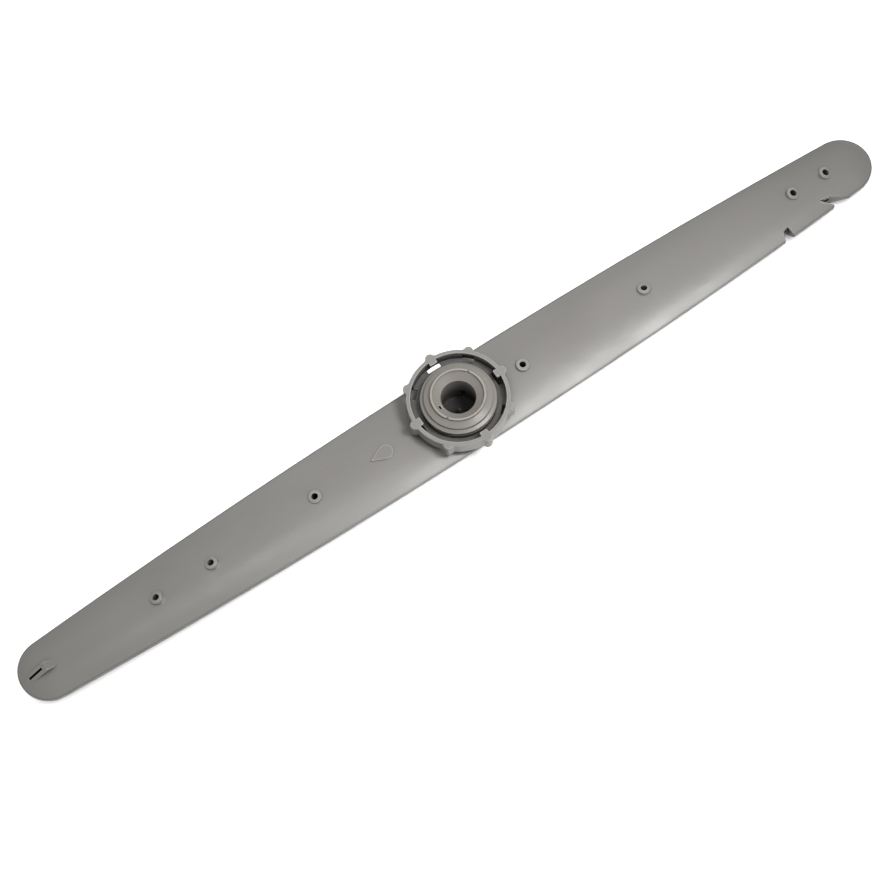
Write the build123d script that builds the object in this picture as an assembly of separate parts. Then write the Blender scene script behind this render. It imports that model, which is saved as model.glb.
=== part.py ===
from build123d import *
import os
from math import asin, cos, degrees, sin, sqrt

# Dishwasher spray arm: two welded half shells, an inlet bush and a locking ring.
# Millimetres. +X runs along the arm to the end with the side jets, +Z up the hub axis.
# The origin is on the hub axis, on the flat of the underside.

# Arm planform
arm_length = 475.0
arm_width = 42.8
end_radius = 14.7

# Arm section: each half is a low arch on a narrow upright edge
wall = 2.0
upper_edge = 1.2
crown_rise = 3.7
lower_edge = 1.0
belly_rise = 8.0
belly_rise_end = 2.6
belly_taper = 8
underside_cut = 1.0
station_shares = (0.0, 0.32, 0.63, 0.81, 0.92, 1.0)
trim_margin = 0.5
cut_margin = 1.0

# Weld tongue round the joint of the shells
tongue_inset = 0.65
tongue_width = 0.7
tongue_depth = 0.8
tongue_gap = 0.1

# Spray nozzles: share of the half length, lean from upright, and the way they lean
nozzle_aims = (
    (0.896, 43.0, -33.0),
    (0.8143, 33.0, -37.0),
    (0.4438, 31.0, 60.0),
    (0.1512, 12.0, -8.0),
    (-0.3373, 17.0, 180.0),
    (-0.5752, 42.0, 127.0),
    (-0.6989, 43.0, 130.0),
)
nozzle_face_rise = 0.95
nozzle_face_lean_share = 0.42
nozzle_face_radius = 3.2
nozzle_face_edge = 0.45
nozzle_root_radius = 3.8
nozzle_root_depth = 3.6
nozzle_hole_radius = 1.6
nozzle_hole_depth = 7.2

# Fan slot in a wedge at the plain end; insets are from the tip of that end
wedge_width = 4.8
wedge_edge = 0.6
wedge_crest = 1.2
wedge_ramp_inset = 19.0
wedge_top_inset = 13.6
wedge_top_rise = 2.6
wedge_nose_inset = 3.1
wedge_nose_rise = -2.4
fan_slot_inner = 1.8
fan_slot_length = 8.1
fan_slot_width = 1.3
fan_slot_depth = 5.0

# Side jets: two notches in one side, with an opening in the back wall of each.
# Corners are given by inset from the tip of the jet end and depth in from the side.
short_notch = ((61.5, -1.8), (59.2, 4.5), (56.3, 4.8), (55.2, -2.1))
long_notch = ((28.0, -1.7), (35.5, 6.1), (30.3, 5.3), (19.5, -1.1))
prong_tip_round = 0.6
jet_length = 6.0
round_jet_radius = 1.0
slot_jet_width = 3.4
slot_jet_height = 2.6

# Raised drop mark on the crown
drop_x = -41.0
drop_radius = 3.6
drop_length = 12.0
drop_rise = 0.5

# Hub of the upper shell
hub_radius = 17.5
hub_rise = 2.55
collar_drop = 0.6
journal_radius = 14.8
journal_width = 1.9

# Locking ring
ring_outer_radius = 24.3
ring_wall = 1.9
ring_height = 7.1
ring_floor = 1.0
ring_edge_chamfer = 0.3
knob_count = 8
knob_reach = 2.0
knob_tip_radius = 2.3
knob_blend = 1.4
tab_length = 2.0
tab_width = 3.9
tab_thickness = 1.6
tab_corner = 0.4
floor_slot_width = 7.0
floor_slot_inset = 2.3
pocket_width = 5.4
pocket_depth = 0.8

# Inlet bush
bore_radius = 8.3
stem_wall = 2.0
flange_radius = 17.95
flange_rim = 2.0
flange_edge = 0.4
flange_shoulder_drop = 1.2
flange_groove_top_drop = 2.0
flange_groove_height = 1.4
flange_groove_depth = 0.6
disc_radius = 16.15
disc_edge_rise = 0.7
disc_step = 1.3
disc_crown_rise = 2.1
lip_inner_radius = 12.1
lip_width = 0.95
lip_rise = 3.5
funnel_rise = 2.5
notch_angle = 34.0
notch_width = 1.1
bleed_x = -10.0
bleed_length = 1.9
bleed_width = 1.0
pip_x = 14.65
pip_radius = 0.6
pip_rise = 0.25
hook_reach = 1.1
hook_height = 1.9
hook_chamfer = 1.0
finger_count = 4
finger_slot_width = 2.4
finger_slot_height = 6.0
finger_relief = 0.5

# Flow cone on the floor of the lower shell
cone_base_radius = 6.5
cone_waist_radius = 2.3
cone_waist_share = 0.3
cone_tip_radius = 0.6
cone_rise = 0.3

# Clearances
turn_gap = 0.1
ring_turn_gap = 0.2
seat_gap = 0.15

# Levels above the underside
parting_z = lower_edge + belly_rise - underside_cut
crown_z = parting_z + upper_edge + crown_rise
hub_top_z = crown_z + hub_rise
collar_end_z = parting_z - collar_drop
ring_base_z = hub_top_z + seat_gap
ring_floor_z = ring_base_z + ring_floor
rim_z = ring_base_z + ring_height
flange_base_z = ring_floor_z + seat_gap
hook_top_z = collar_end_z - seat_gap
stem_end_z = hook_top_z - hook_height
finger_top_z = stem_end_z + finger_slot_height

# Radii that follow from the driving ones
stem_radius = bore_radius + stem_wall
collar_bore_radius = stem_radius + turn_gap
collar_radius = collar_bore_radius + wall
ring_inner_radius = ring_outer_radius - ring_wall
ring_hole_radius = journal_radius + ring_turn_gap
lip_outer_radius = lip_inner_radius + lip_width

# Flank arc that joins the middle width to the end arcs without a corner
half_length = arm_length / 2
half_mid = arm_width / 2
end_x = half_length - end_radius
flank_radius = (end_x**2 + half_mid**2 - end_radius**2) / (2 * (half_mid - end_radius))
tangent_angle = asin(end_x / (flank_radius - end_radius))
tangent_x = end_x + end_radius * sin(tangent_angle)
tangent_y = end_radius * cos(tangent_angle)


def half_width(x):
    """Half the width of the arm at a place along it."""
    return half_mid - flank_radius + sqrt(flank_radius**2 - x**2)


def belly_at(x):
    """Rise of the lower arch, which thins towards the ends."""
    share = (abs(x) / end_x) ** belly_taper
    return belly_rise - (belly_rise - belly_rise_end) * share


def notch_corners(notch):
    """Places on the arm of the corners of a side notch."""
    corners = []
    for inset, depth in notch:
        x = half_length - inset
        corners.append((x, depth - half_width(x)))
    return corners


def closed_face(points):
    """Flat face with straight sides between the points."""
    return make_face(Polyline(*points, close=True))


def planform():
    """Outline of the arm from above, with both side notches."""
    edges = Curve()
    edges += ThreePointArc((-tangent_x, tangent_y), (0, half_mid), (tangent_x, tangent_y))
    edges += ThreePointArc((tangent_x, tangent_y), (half_length, 0), (tangent_x, -tangent_y))
    edges += ThreePointArc((tangent_x, -tangent_y), (0, -half_mid), (-tangent_x, -tangent_y))
    edges += ThreePointArc((-tangent_x, -tangent_y), (-half_length, 0), (-tangent_x, tangent_y))
    outline = make_face(edges)
    for notch in (short_notch, long_notch):
        outline -= closed_face(notch_corners(notch))
    prong_side = notch_corners(long_notch)[0]
    prong_tip = outline.vertices().sort_by_distance(prong_side)[0]
    return fillet(prong_tip, prong_tip_round)


def arch_points(half, edge, rise):
    """Side, shoulder height and top of an arch, carried past its edge by the trim margin."""
    arch_radius = (half**2 + rise**2) / (2 * rise)
    side = half + trim_margin
    drop = arch_radius - sqrt(arch_radius**2 - side**2)
    return side, edge + rise - drop, edge + rise


def arch_section(half, edge, rise, depth):
    """Cross-section of one half of the arm, on a base below the joint of the shells."""
    side, shoulder, top = arch_points(half, edge, rise)
    lines = Curve() + ThreePointArc((-side, shoulder), (0, top), (side, shoulder))
    lines += Polyline((side, shoulder), (side, -depth), (-side, -depth), (-side, shoulder))
    return make_face(lines)


def arch_end(half, edge, rise, depth):
    """Half of the section at the end arc's centre, for turning about the end's axis."""
    side, shoulder, top = arch_points(half, edge, rise)
    start = (0, top)
    lines = Curve() + TangentArc(start, (side, shoulder), tangent=(1, 0))
    lines += Polyline((side, shoulder), (side, -depth), (0, -depth), start)
    return make_face(lines)


def arched_bar(edge, rise_at):
    """Bar with an arched top and domed ends, a little wider than the arm."""
    depth = wall + cut_margin
    shares = [-share for share in reversed(station_shares[1:])] + list(station_shares)
    sections = []
    for share in shares:
        x = share * end_x
        half = end_radius if abs(share) == 1 else half_width(x)
        section = arch_section(half, edge, rise_at(x), depth)
        sections.append(Plane.YZ.offset(x) * section)
    bar = loft(sections)
    dome_face = Plane.XZ * arch_end(end_radius, edge, rise_at(end_x), depth)
    dome = revolve(dome_face, Axis.Z, 360)
    return bar + Pos(end_x, 0, 0) * dome + Pos(-end_x, 0, 0) * dome


def slab(face, low, high):
    """Outline carried straight up between two levels."""
    return extrude(Pos(0, 0, low) * face, high - low)


def tongue_ring(outline, gap, depth):
    """Band under the joint of the shells that runs round the wall."""
    outer = offset(outline, gap - tongue_inset)
    inner = offset(outline, -tongue_inset - tongue_width - gap)
    return slab(outer - inner, parting_z - depth, parting_z)


def side_jets():
    """Openings from the inside of the arm into the back of each notch."""
    short_back = notch_corners(short_notch)[1:3]
    short_x = (short_back[0][0] + short_back[1][0]) / 2
    short_y = (short_back[0][1] + short_back[1][1]) / 2
    round_jet = Cylinder(round_jet_radius, jet_length, rotation=(90, 0, 0))
    long_back = notch_corners(long_notch)[1:3]
    long_x = long_back[1][0] - slot_jet_width / 2
    long_y = (long_back[0][1] + long_back[1][1]) / 2
    slot_jet = Box(slot_jet_width, jet_length, slot_jet_height)
    jets = Pos(short_x, short_y, parting_z) * round_jet
    return jets + Pos(long_x, long_y, parting_z) * slot_jet


def nozzle(share, lean, heading):
    """Boss and hole of one spray nozzle; the hole leans more than the boss."""
    place = Pos(share * half_length, 0, crown_z + nozzle_face_rise) * Rot(0, 0, heading)
    boss = Cone(nozzle_root_radius, nozzle_face_radius, nozzle_root_depth)
    boss = fillet(boss.edges().group_by(Axis.Z)[-1], nozzle_face_edge)
    boss = Rot(0, nozzle_face_lean_share * lean, 0) * Pos(0, 0, -nozzle_root_depth / 2) * boss
    hole = Rot(0, lean, 0) * Cylinder(nozzle_hole_radius, 2 * nozzle_hole_depth)
    return place * boss, place * hole


def fan_wedge():
    """Wedge at the plain end, and the slot that throws a flat fan of water."""
    ramp_x = wedge_ramp_inset - half_length
    top_x = wedge_top_inset - half_length
    nose_x = wedge_nose_inset - half_length
    top_z = crown_z + wedge_top_rise
    nose_z = crown_z + wedge_nose_rise
    crest = (top_x, top_z)
    base = ((nose_x, parting_z), (ramp_x, parting_z))
    profile = closed_face(((ramp_x, crown_z), crest, (nose_x, nose_z), *base))
    profile = fillet(profile.vertices().sort_by_distance(crest)[0], wedge_crest)
    wedge = extrude(Plane.XZ * profile, wedge_width / 2, both=True)
    rounded = Pos((ramp_x + nose_x) / 2, 0) * SlotOverall(ramp_x - nose_x, wedge_width)
    wedge = wedge & slab(rounded, parting_z, top_z)
    rim = wedge.edges() - wedge.faces().sort_by(Axis.Z)[0].edges()
    wedge = fillet(rim.filter_by(lambda edge: edge.length > wedge_edge), wedge_edge)
    run = top_x - nose_x
    fall = top_z - nose_z
    slope = sqrt(run**2 + fall**2)
    share = (fan_slot_inner + fan_slot_length / 2) / slope
    cut = Box(fan_slot_length, fan_slot_width, 2 * fan_slot_depth)
    tilt = Rot(0, -degrees(asin(fall / slope)), 0)
    return wedge, Pos(top_x - run * share, 0, top_z - fall * share) * tilt * cut


def drop_mark(crown):
    """Low raised pad in the form of a plain drop."""
    point_x = drop_x + drop_radius - drop_length
    reach = drop_x - point_x
    touch = drop_radius**2 / reach
    side = drop_radius * sqrt(1 - (drop_radius / reach) ** 2)
    cone = closed_face(((point_x, 0), (drop_x - touch, side), (drop_x - touch, -side)))
    shape = cone + Pos(drop_x, 0) * Circle(drop_radius)
    return slab(shape, parting_z, crown_z + cut_margin) & (Pos(0, 0, drop_rise) * crown)


def make_upper_shell(outline):
    """Upper half of the arm with its nozzles, drop mark and hub."""
    crown = Pos(0, 0, parting_z) * arched_bar(upper_edge, lambda x: crown_rise)
    body = slab(outline, parting_z, crown_z + cut_margin) & crown
    body += drop_mark(crown)
    holes = []
    for aim in nozzle_aims:
        boss, hole = nozzle(*aim)
        body += boss
        holes.append(hole)
    wedge, slot = fan_wedge()
    body += wedge
    body += slab(Circle(hub_radius), parting_z, hub_top_z)

    inside = slab(offset(outline, -wall), parting_z - cut_margin, crown_z)
    inside = inside & (Pos(0, 0, -wall) * crown)
    inside += slab(Circle(hub_radius - wall), parting_z, hub_top_z - wall)
    body -= inside
    body -= slab(outline, parting_z - 2 * wall, parting_z)

    body += slab(Circle(collar_radius), collar_end_z, hub_top_z)
    journal = Circle(journal_radius) - Circle(journal_radius - journal_width)
    body += slab(journal, hub_top_z - wall / 2, ring_floor_z)
    body -= slab(Circle(collar_bore_radius), 0, rim_z)
    body += tongue_ring(outline, 0, tongue_depth)
    body -= side_jets()
    body -= slot
    for hole in holes:
        body -= hole
    return body


def make_lower_shell(outline):
    """Lower half of the arm with its flat underside, groove and flow cone."""
    belly = Rot(180, 0, 0) * arched_bar(lower_edge, belly_at)
    belly = Pos(0, 0, parting_z) * belly
    body = slab(outline, 0, parting_z) & belly
    inside = slab(offset(outline, -wall), wall, parting_z) & (Pos(0, 0, wall) * belly)
    body -= inside
    tip_z = parting_z + cone_rise
    foot = (cone_base_radius, wall)
    tip = (cone_tip_radius, tip_z)
    waist = (cone_waist_radius, wall + (tip_z - wall) * cone_waist_share)
    cone = Curve() + ThreePointArc(foot, waist, tip)
    cone += Polyline(tip, (0, tip_z), (0, wall / 2), (cone_base_radius, wall / 2), foot)
    body += revolve(Plane.XZ * make_face(cone), Axis.Z, 360)
    body -= tongue_ring(outline, tongue_gap, tongue_depth + tongue_gap)
    body -= side_jets()
    return body


def make_inlet_bush():
    """Bush that the arm spins on: funnel, lip, flange and snap-in stem."""
    lip_z = rim_z + lip_rise
    funnel_z = rim_z + funnel_rise
    disc_top_z = rim_z + disc_crown_rise
    disc_edge_z = rim_z + disc_edge_rise
    shoulder_z = rim_z - flange_shoulder_drop
    groove_z = rim_z - flange_groove_top_drop
    groove_radius = flange_radius - flange_groove_depth
    pocket_z = disc_top_z - wall
    pocket_outer = flange_radius - flange_rim
    hook_radius = stem_radius + hook_reach
    finger_radius = bore_radius + finger_relief
    profile = closed_face(
        (
            (finger_radius, stem_end_z),
            (finger_radius, finger_top_z - finger_relief),
            (bore_radius, finger_top_z),
            (bore_radius, rim_z),
            (lip_inner_radius, funnel_z),
            (lip_inner_radius, lip_z),
            (lip_outer_radius, lip_z),
            (lip_outer_radius, disc_top_z),
            (disc_radius, disc_edge_z),
            (disc_radius, disc_edge_z - disc_step),
            (flange_radius, shoulder_z),
            (flange_radius, groove_z),
            (groove_radius, groove_z),
            (groove_radius, groove_z - flange_groove_height),
            (flange_radius, groove_z - flange_groove_height),
            (flange_radius, flange_base_z),
            (pocket_outer, flange_base_z),
            (pocket_outer, shoulder_z - wall / 2),
            (lip_outer_radius, pocket_z),
            (stem_radius, pocket_z - wall / 2),
            (stem_radius, hook_top_z),
            (hook_radius, hook_top_z),
            (hook_radius, stem_end_z + hook_chamfer),
            (stem_radius, stem_end_z),
        )
    )
    for corner in ((disc_radius, disc_edge_z), (flange_radius, shoulder_z)):
        profile = fillet(profile.vertices().sort_by_distance(corner)[0], flange_edge)
    bush = revolve(Plane.XZ * profile, Axis.Z, 360)
    slot = Box(finger_slot_width, 2 * flange_radius, finger_slot_height)
    slot = Pos(0, 0, stem_end_z + finger_slot_height / 2) * slot
    for i in range(finger_count // 2):
        bush -= Rot(0, 0, (i + 0.5) * 360 / finger_count) * slot
    notch = Box(2 * (lip_width + cut_margin), notch_width, 2 * (lip_rise - disc_crown_rise))
    notch_r = lip_inner_radius + lip_width / 2
    for turn in (notch_angle, notch_angle + 180):
        bush -= Rot(0, 0, turn) * Pos(notch_r, 0, lip_z) * notch
    bleed = Pos(bleed_x, 0) * Rectangle(bleed_width, bleed_length)
    bush -= slab(bleed, pocket_z - wall, lip_z)
    pip = Cylinder(pip_radius, 2 * pip_rise)
    share = (disc_radius - pip_x) / (disc_radius - lip_outer_radius)
    pip_z = disc_edge_z + (disc_top_z - disc_edge_z) * share
    bush += Pos(pip_x, 0, pip_z) * pip
    return bush


def ring_outline():
    """Outside of the ring: round tips joined to the ring by hollow blends, all tangent."""
    tip_r = ring_outer_radius + knob_reach - knob_tip_radius
    blend_r = ring_outer_radius + knob_blend
    blend_to_tip = knob_tip_radius + knob_blend
    blend_x = (blend_r**2 - blend_to_tip**2 + tip_r**2) / (2 * tip_r)
    blend_y = sqrt(blend_r**2 - blend_x**2)
    foot_share = ring_outer_radius / blend_r
    foot_x = blend_x * foot_share
    foot_y = blend_y * foot_share
    tip_share = knob_tip_radius / blend_to_tip
    neck_x = tip_r + (blend_x - tip_r) * tip_share
    neck_y = blend_y * tip_share
    knob = Curve() + RadiusArc((foot_x, -foot_y), (neck_x, -neck_y), knob_blend)
    knob += RadiusArc((neck_x, -neck_y), (neck_x, neck_y), -knob_tip_radius)
    knob += RadiusArc((neck_x, neck_y), (foot_x, foot_y), knob_blend)
    step = 360 / knob_count
    next_foot = Vector(foot_x, -foot_y).rotate(Axis.Z, step)
    knob += RadiusArc((foot_x, foot_y), next_foot, -ring_outer_radius)
    outline = Curve()
    for i in range(knob_count):
        outline += Rot(0, 0, i * step) * knob
    return make_face(outline)


def make_lock_ring():
    """Ring nut with grip knobs outside and bayonet tabs inside."""
    ring = slab(ring_outline() - Circle(ring_hole_radius), ring_base_z, rim_z)
    ring = chamfer(ring.edges().group_by(Axis.Z)[-1], ring_edge_chamfer)
    ring -= slab(Circle(ring_inner_radius), ring_floor_z, rim_z + cut_margin)
    left = (Align.MIN, Align.CENTER)
    tab_r = ring_inner_radius - tab_length
    tab = Pos(tab_r, 0) * Rectangle(2 * tab_length, tab_width, align=left)
    tab = fillet(tab.vertices().group_by(Axis.X)[0], tab_corner)
    tab = tab & Circle(ring_inner_radius + ring_wall / 2)
    slot_r = ring_inner_radius - floor_slot_inset
    slot = Pos(slot_r, 0) * Rectangle(2 * floor_slot_inset, floor_slot_width, align=left)
    slot = slot & Circle(ring_inner_radius)
    pocket_length = floor_slot_inset + pocket_depth
    pocket = Pos(slot_r, 0) * Rectangle(pocket_length, pocket_width, align=left)
    for i in range(knob_count):
        turn = Rot(0, 0, i * 360 / knob_count)
        if i % 2 == 0:
            ring += turn * slab(tab, rim_z - tab_thickness, rim_z)
            ring -= turn * slab(slot, ring_base_z - cut_margin, ring_floor_z)
        else:
            ring -= turn * slab(pocket, ring_base_z - cut_margin, rim_z - tab_thickness)
    return ring


os.makedirs("parts", exist_ok=True)
arm_outline = planform()
nodes = {
    "upper_shell": make_upper_shell(arm_outline),
    "lower_shell": make_lower_shell(arm_outline),
    "inlet_bush": make_inlet_bush(),
    "lock_ring": make_lock_ring(),
}
for name, shape in nodes.items():
    shape.label = name
    export_step(shape, f"parts/{name}.step")
    print(name, round(shape.volume), len(shape.solids()), shape.bounding_box())
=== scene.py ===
from math import radians
from typing import NamedTuple

import bpy
from mathutils import Matrix, Quaternion, Vector

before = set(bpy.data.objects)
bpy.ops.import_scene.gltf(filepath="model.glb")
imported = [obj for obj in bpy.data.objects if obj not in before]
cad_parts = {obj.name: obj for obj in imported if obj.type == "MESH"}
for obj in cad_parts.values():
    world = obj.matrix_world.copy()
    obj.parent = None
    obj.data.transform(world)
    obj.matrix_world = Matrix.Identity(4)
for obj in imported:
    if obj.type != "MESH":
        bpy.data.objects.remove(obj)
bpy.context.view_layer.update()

# Metres. The frame is the part's own: +X to the end with the side jets, +Z up the hub axis.
MM = 0.001


class Effect(NamedTuple):
    """Values at which an effect sets in and is full, how much of it shows then, and its tint."""

    starts: float
    full: float
    share: float
    tint: float


# Effects on the plastic's colour. Specks and pits follow noise. Painted shade at the feet of walls and in
# the holes follows how open a place is. On the arm, the weld follows the distance from its line, and the
# painted shade on the rim the height.
SPECKS = Effect(starts=0.62, full=0.78, share=0.22, tint=1.25)
PITS = Effect(starts=0.32, full=0.22, share=0.25, tint=0.7)
FOOT_SHADE = Effect(starts=0.95, full=0.6, share=0.35, tint=0.35)
HOLE_SHADE = Effect(starts=0.66, full=0.42, share=1.0, tint=0.04)
WELD = Effect(starts=0.42 * MM, full=0.21 * MM, share=0.7, tint=0.3)
RIM_SHADE = Effect(starts=9.7 * MM, full=9.15 * MM, share=0.45, tint=0.3)

# Heights on the arm: its weld line, and where the painted highlights on its edges set in and are full
WELD_HEIGHT = 8.0 * MM
EDGE_HIGHLIGHT_HEIGHTS = (9.5 * MM, 11.5 * MM)

# Patterns in the plastic: their sizes, how far they are drawn out, and the clouds' range and tints
CLOUD_SIZE = 38 * MM
CLOUD_DRAWN = 2.6
CLOUD_RANGE = (0.3, 0.7)
CLOUD_TINTS = (0.93, 1.06)
SPECK_SIZE = 0.9 * MM
PIT_SIZE = 0.7 * MM
PIT_DRAWN = (1.3, 0.9, 1.1)
WAVE_SIZE = 16 * MM
WAVE_DRAWN = 1.8
WAVE_DEPTH = 0.09 * MM
GRAIN_SIZE = 0.35 * MM

# Gloss of the plastic: dull and shiny patches, and fine scuffs along the arm
PATCH_SIZE = 26 * MM
PATCH_RANGE = (0.3, 0.7)
PATCH_CHANGE = (-0.04, 0.05)
SCUFF_SIZE = 2.2 * MM
SCUFF_DRAWN = (14.0, 1.0, 1.0)
SCUFF_RANGE = (0.6, 0.75)
SCUFF_CHANGE = 0.09
PLASTIC_IOR = 1.49

# Painted highlights on edges, and how far round a place its holes and the inside of the part are looked
# for, to paint shade there
CORNER_RADIUS = 0.35 * MM
CORNER_RANGE = (0.998, 0.9)
EDGE_HIGHLIGHT_RANGE = (0.92, 0.6)
EDGE_HIGHLIGHT_SHARE = 0.75
EDGE_HIGHLIGHT_TINT = 1.7
HOLE_SHADE_REACH = 6 * MM
DEEP_SHADE_REACH = 28 * MM
DEEP_SHADE_FADE = 0.25
DEEP_SHADE_TINT = 0.06

# Number of rays that look for openness and for corners
OPEN_SAMPLES = 8
CORNER_SAMPLES = 6

# Floor: half its side, and its pale matt sheet
FLOOR_REACH = 4.0
FIBRE_SIZE = 3 * MM
SHEET_TINTS = (0.9, 0.93)
SHEET_ROUGHNESS = 0.9
SHEET_SPECULAR = 0.2

# Camera, fitted to the outline and the hub circles in the photograph: where it stands, the place on the
# floor that it looks at, its roll about the line of sight, its angle of view across the square frame, and
# the side of its sensor in millimetres
CAMERA_PLACE = Vector((-0.192834, -0.363746, 0.979279))
CAMERA_AIM = Vector((-0.013928, -0.009456, 0))
CAMERA_ROLL = radians(-7.4139)
CAMERA_ANGLE = radians(22.4546)
SENSOR_SIDE = 36

WHITE = (1.0, 1.0, 1.0)

# Sky: its strength low down and overhead, and the heights on a unit sphere over which it rises
SKY_LOW = 0.2
SKY_OVERHEAD = 0.61
SKY_RISE = (0.1, 0.95)

# Light on the floor alone
BACKDROP_STRENGTH = 4.2
BACKDROP_ANGLE = radians(120)


def tint(color, factor):
    """Colour made lighter or darker, with its alpha."""
    return (*[channel * factor for channel in color], 1.0)


class Tree:
    """Small helper that adds shader nodes to a material and links them."""

    def __init__(self, name):
        self.material = bpy.data.materials.new(name)
        self.material.use_nodes = True
        self.nodes = self.material.node_tree.nodes
        self.links = self.material.node_tree.links
        self.shader = self.nodes["Principled BSDF"]
        self.place = self.nodes.new("ShaderNodeTexCoord").outputs["Object"]

    def feed(self, socket, value):
        """Links an output to a socket, or sets a plain value on it."""
        if isinstance(value, bpy.types.NodeSocket):
            self.links.new(value, socket)
        else:
            socket.default_value = value

    def math(self, operation, first, second=0.0):
        """Result of a maths node."""
        node = self.nodes.new("ShaderNodeMath")
        node.operation = operation
        for socket, value in zip(node.inputs, (first, second)):
            self.feed(socket, value)
        return node.outputs[0]

    def spread(self, value, low, high, start=0.0, end=1.0):
        """Value carried smoothly from one range to another, and held inside it."""
        node = self.nodes.new("ShaderNodeMapRange")
        node.interpolation_type = "SMOOTHSTEP"
        for name, number in (
            ("Value", value),
            ("From Min", low),
            ("From Max", high),
            ("To Min", start),
            ("To Max", end),
        ):
            self.feed(node.inputs[name], number)
        return node.outputs["Result"]

    def noise(self, size, detail=2.0, drawn=(1.0, 1.0, 1.0), roughness=0.5):
        """Noise with features of the given size in metres, which may be drawn out."""
        mapping = self.nodes.new("ShaderNodeMapping")
        self.links.new(self.place, mapping.inputs["Vector"])
        mapping.inputs["Scale"].default_value = [1 / factor for factor in drawn]
        node = self.nodes.new("ShaderNodeTexNoise")
        self.links.new(mapping.outputs["Vector"], node.inputs["Vector"])
        node.inputs["Scale"].default_value = 1 / size
        node.inputs["Detail"].default_value = detail
        node.inputs["Roughness"].default_value = roughness
        return node.outputs["Fac"]

    def mix(self, share, first, second):
        """Colour between two colours."""
        node = self.nodes.new("ShaderNodeMix")
        node.data_type = "RGBA"
        self.feed(node.inputs["Factor"], share)
        self.feed(node.inputs["A"], first)
        self.feed(node.inputs["B"], second)
        return node.outputs["Result"]

    def paint(self, shade, color, value, effect, strength=1.0):
        """Shade with an effect laid over it where the value reaches the effect's range."""
        share = self.spread(value, effect.starts, effect.full, 0.0, effect.share * strength)
        return self.mix(share, shade, tint(color, effect.tint))

    def height(self):
        """Height of a place in the part's own frame."""
        node = self.nodes.new("ShaderNodeSeparateXYZ")
        self.links.new(self.place, node.inputs[0])
        return node.outputs["Z"]

    def open_air(self, reach, inside=False):
        """How open a place is: one in the open, zero deep in a hole. Inside, it is low at outer edges."""
        node = self.nodes.new("ShaderNodeAmbientOcclusion")
        node.samples = OPEN_SAMPLES
        node.inside = inside
        node.inputs["Distance"].default_value = reach
        return node.outputs["AO"]

    def soft_edge(self, radius):
        """Normal that runs smoothly over corners, and how close a corner is."""
        bevel = self.nodes.new("ShaderNodeBevel")
        bevel.samples = CORNER_SAMPLES
        bevel.inputs["Radius"].default_value = radius
        true_normal = self.nodes.new("ShaderNodeNewGeometry").outputs["Normal"]
        compare = self.nodes.new("ShaderNodeVectorMath")
        compare.operation = "DOT_PRODUCT"
        self.links.new(bevel.outputs["Normal"], compare.inputs[0])
        self.links.new(true_normal, compare.inputs[1])
        return bevel.outputs["Normal"], self.spread(compare.outputs["Value"], *CORNER_RANGE)

    def bump(self, height, depth, normal):
        """Normal disturbed by a height map of the given depth in metres."""
        node = self.nodes.new("ShaderNodeBump")
        node.inputs["Strength"].default_value = 1.0
        node.inputs["Distance"].default_value = depth
        self.links.new(height, node.inputs["Height"])
        self.links.new(normal, node.inputs["Normal"])
        return node.outputs["Normal"]


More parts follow.
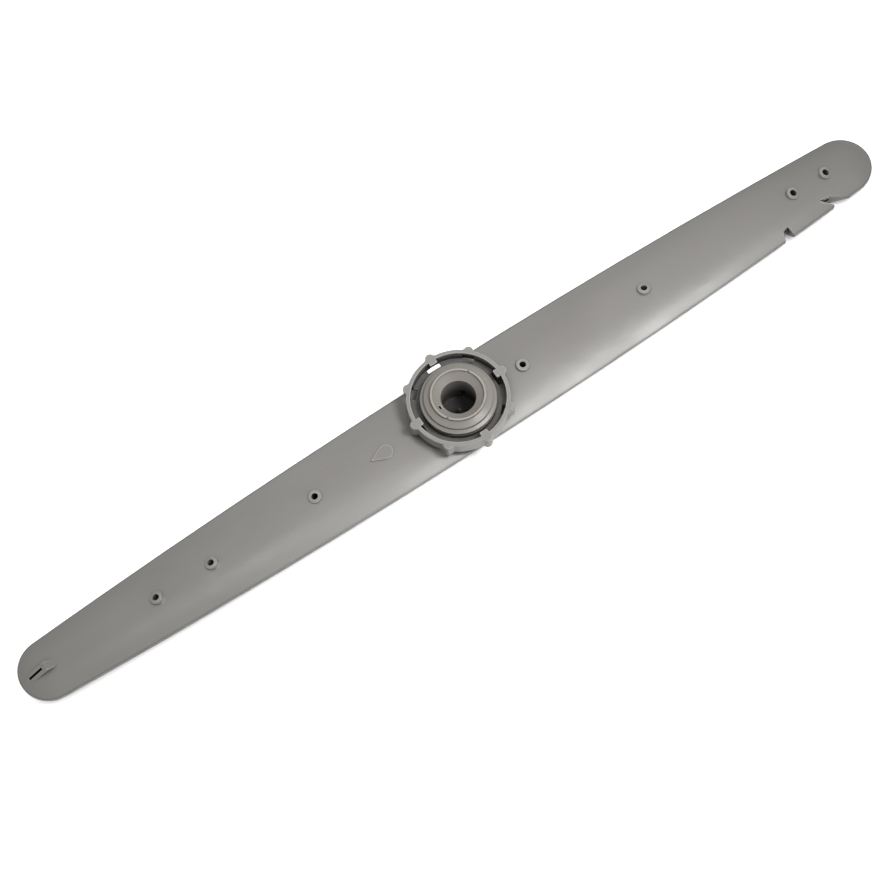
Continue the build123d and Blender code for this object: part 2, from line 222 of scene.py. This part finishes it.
def moulded_plastic(name, color, roughness, grain, highlight_reach, hole_shade_strength, deep_shade_from, flow=1.0, weld_and_rim_shade=False):
    """Satin moulded plastic with clouding, mould grain, painted highlights on edges, and painted shade in
    holes and insides.

    grain is the depth of the fine grain, and highlight_reach how far in from an edge the painted highlight
    reaches.
    hole_shade_strength is how black the painted shade in its holes is, and deep_shade_from how open a
    place is where the painted shade inside sets in. flow draws the clouding out, and weld_and_rim_shade
    adds the weld line and the painted shade on the arm's rim.
    """
    tree = Tree(name)
    cloud = tree.noise(CLOUD_SIZE, detail=3.0, drawn=(CLOUD_DRAWN * flow, 1.0, 1.0))
    dark, light = [tint(color, factor) for factor in CLOUD_TINTS]
    shade = tree.mix(tree.spread(cloud, *CLOUD_RANGE), dark, light)
    specks = tree.noise(SPECK_SIZE)
    shade = tree.paint(shade, color, specks, SPECKS)
    pits = tree.noise(PIT_SIZE, detail=1.0, drawn=PIT_DRAWN)
    shade = tree.paint(shade, color, pits, PITS)

    # Painted highlight: edges and corners are made lighter, standing in for light caught by rounded edges.
    normal, corner = tree.soft_edge(CORNER_RADIUS)
    painted_edge_highlight = tree.spread(tree.open_air(highlight_reach, inside=True), *EDGE_HIGHLIGHT_RANGE)
    edge_highlight = tree.math("MAXIMUM", corner, painted_edge_highlight)
    if weld_and_rim_shade:
        height = tree.height()
        edge_highlight = tree.math("MULTIPLY", edge_highlight, tree.spread(height, *EDGE_HIGHLIGHT_HEIGHTS))
    shade = tree.mix(tree.math("MULTIPLY", edge_highlight, EDGE_HIGHLIGHT_SHARE), shade, tint(color, EDGE_HIGHLIGHT_TINT))
    # Painted shade: darker at the feet of walls and near black in holes, where little light reaches.
    open_air = tree.open_air(HOLE_SHADE_REACH)
    shade = tree.paint(shade, color, open_air, FOOT_SHADE)
    shade = tree.paint(shade, color, open_air, HOLE_SHADE, hole_shade_strength)
    # Painted shade: deep inside the part, in the bore and the channel, the colour goes nearly black.
    inside = tree.spread(tree.open_air(DEEP_SHADE_REACH), deep_shade_from, deep_shade_from - DEEP_SHADE_FADE)
    shade = tree.mix(inside, shade, tint(color, DEEP_SHADE_TINT))
    if weld_and_rim_shade:
        off_line = tree.math("ABSOLUTE", tree.math("SUBTRACT", height, WELD_HEIGHT))
        shade = tree.paint(shade, color, off_line, WELD)
        # Painted shade: the arm's rim just above the weld is darker, as its flank is in shade.
        shade = tree.paint(shade, color, height, RIM_SHADE)
    tree.feed(tree.shader.inputs["Base Color"], shade)

    # Roughness. Where shade is painted dark inside the part, it is matt, so that no light glints in it.
    scuffs = tree.noise(SCUFF_SIZE, detail=3.0, drawn=SCUFF_DRAWN, roughness=0.6)
    patches = tree.noise(PATCH_SIZE)
    shiny, dull = [roughness + change for change in PATCH_CHANGE]
    rough = tree.spread(patches, *PATCH_RANGE, shiny, dull)
    rough = tree.math("ADD", rough, tree.spread(scuffs, *SCUFF_RANGE, 0.0, SCUFF_CHANGE))
    rough = tree.math("MAXIMUM", rough, inside)
    tree.feed(tree.shader.inputs["Roughness"], rough)

    fine = tree.noise(GRAIN_SIZE)
    waves = tree.noise(WAVE_SIZE, detail=1.0, drawn=(WAVE_DRAWN * flow, 1.0, 1.0))
    normal = tree.bump(waves, WAVE_DEPTH, normal)
    normal = tree.bump(fine, grain, normal)
    tree.feed(tree.shader.inputs["Normal"], normal)
    tree.shader.inputs["IOR"].default_value = PLASTIC_IOR
    return tree.material


def paper():
    """Pale matt sheet that the arm lies on."""
    tree = Tree("floor_paper")
    fibre = tree.noise(FIBRE_SIZE, detail=3.0)
    dark, light = [tint(WHITE, factor) for factor in SHEET_TINTS]
    tree.feed(tree.shader.inputs["Base Color"], tree.mix(fibre, dark, light))
    tree.shader.inputs["Roughness"].default_value = SHEET_ROUGHNESS
    tree.shader.inputs["Specular IOR Level"].default_value = SHEET_SPECULAR
    return tree.material


def studio_sky():
    """World that is pale overhead and dark near the horizon."""
    world = bpy.data.worlds.new("studio")
    world.use_nodes = True
    nodes = world.node_tree.nodes
    links = world.node_tree.links
    direction = nodes.new("ShaderNodeSeparateXYZ")
    links.new(nodes.new("ShaderNodeTexCoord").outputs["Generated"], direction.inputs[0])
    strength = nodes.new("ShaderNodeMapRange")
    links.new(direction.outputs["Z"], strength.inputs["Value"])
    for name, number in (
        ("From Min", SKY_RISE[0]),
        ("From Max", SKY_RISE[1]),
        ("To Min", SKY_LOW),
        ("To Max", SKY_OVERHEAD),
    ):
        strength.inputs[name].default_value = number
    links.new(strength.outputs["Result"], nodes["Background"].inputs["Strength"])
    nodes["Background"].inputs["Color"].default_value = tint(WHITE, 1.0)
    bpy.context.scene.world = world


def softbox(name, place, aim, size, power, spread):
    """Square area light that looks at a place on the floor. Its spread is in degrees."""
    data = bpy.data.lights.new(name, "AREA")
    data.shape = "SQUARE"
    data.size = size
    data.energy = power
    data.spread = radians(spread)
    lamp = bpy.data.objects.new(name, data)
    bpy.context.scene.collection.objects.link(lamp)
    lamp.location = place
    lamp.rotation_euler = (Vector(aim) - Vector(place)).to_track_quat("-Z", "Y").to_euler()


def backdrop_light(sheet):
    """Broad light from above that falls on the floor alone and keeps it white."""
    data = bpy.data.lights.new("backdrop", "SUN")
    data.energy = BACKDROP_STRENGTH
    data.angle = BACKDROP_ANGLE
    lamp = bpy.data.objects.new("backdrop", data)
    bpy.context.scene.collection.objects.link(lamp)
    floor_only = bpy.data.collections.new("floor_only")
    floor_only.objects.link(sheet)
    lamp.light_linking.receiver_collection = floor_only


# Materials of the four mouldings
arm_plastic = moulded_plastic(
    "arm_plastic",
    color=(0.292, 0.281, 0.266),
    roughness=0.32,
    grain=0.012 * MM,
    highlight_reach=1.2 * MM,
    hole_shade_strength=0.97,
    deep_shade_from=0.5,
    weld_and_rim_shade=True,
)
bush_plastic = moulded_plastic(
    "bush_plastic",
    color=(0.285, 0.267, 0.243),
    roughness=0.36,
    grain=0.01 * MM,
    highlight_reach=0.8 * MM,
    hole_shade_strength=0.5,
    deep_shade_from=0.29,
    flow=0.5,
)
ring_plastic = moulded_plastic(
    "ring_plastic",
    color=(0.303, 0.294, 0.28),
    roughness=0.38,
    grain=0.01 * MM,
    highlight_reach=0.8 * MM,
    hole_shade_strength=0.48,
    deep_shade_from=0.36,
    flow=0.5,
)
for node, material in (
    ("upper_shell", arm_plastic),
    ("lower_shell", arm_plastic),
    ("inlet_bush", bush_plastic),
    ("lock_ring", ring_plastic),
):
    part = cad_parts[node]
    part.data.materials.clear()
    part.data.materials.append(material)

# Floor. It throws no soft light back on the arm, and the look for holes passes through it, because it
# would blacken the underside.
corners = [(x * FLOOR_REACH, y * FLOOR_REACH, 0) for x, y in ((-1, -1), (1, -1), (1, 1), (-1, 1))]
floor_mesh = bpy.data.meshes.new("floor")
floor_mesh.from_pydata(corners, [], [(0, 1, 2, 3)])
floor = bpy.data.objects.new("floor", floor_mesh)
bpy.context.scene.collection.objects.link(floor)
floor.data.materials.append(paper())
floor.visible_diffuse = False
floor.visible_shadow = False

# Camera
camera_data = bpy.data.cameras.new("camera")
camera_data.sensor_width = SENSOR_SIDE
camera_data.sensor_height = SENSOR_SIDE
camera_data.angle = CAMERA_ANGLE
camera = bpy.data.objects.new("camera", camera_data)
bpy.context.scene.collection.objects.link(camera)
facing = (CAMERA_AIM - CAMERA_PLACE).to_track_quat("-Z", "Y") @ Quaternion((0, 0, 1), CAMERA_ROLL)
camera.matrix_world = Matrix.Translation(CAMERA_PLACE) @ facing.to_matrix().to_4x4()
bpy.context.scene.camera = camera
bpy.context.scene.view_settings.view_transform = "Standard"

# Lights. The key brightens the near flank of the half with the side jets, and the small light almost
# straight above gives the other half its faint highlight.
studio_sky()
softbox("key", place=(0.23, -0.25, 0.72), aim=(0.01, 0, 0), size=0.2, power=0.32, spread=52)
softbox("strip", place=(-0.05, -0.08, 1.0), aim=(-0.08, 0, 0), size=0.06, power=0.0185, spread=30)
backdrop_light(floor)
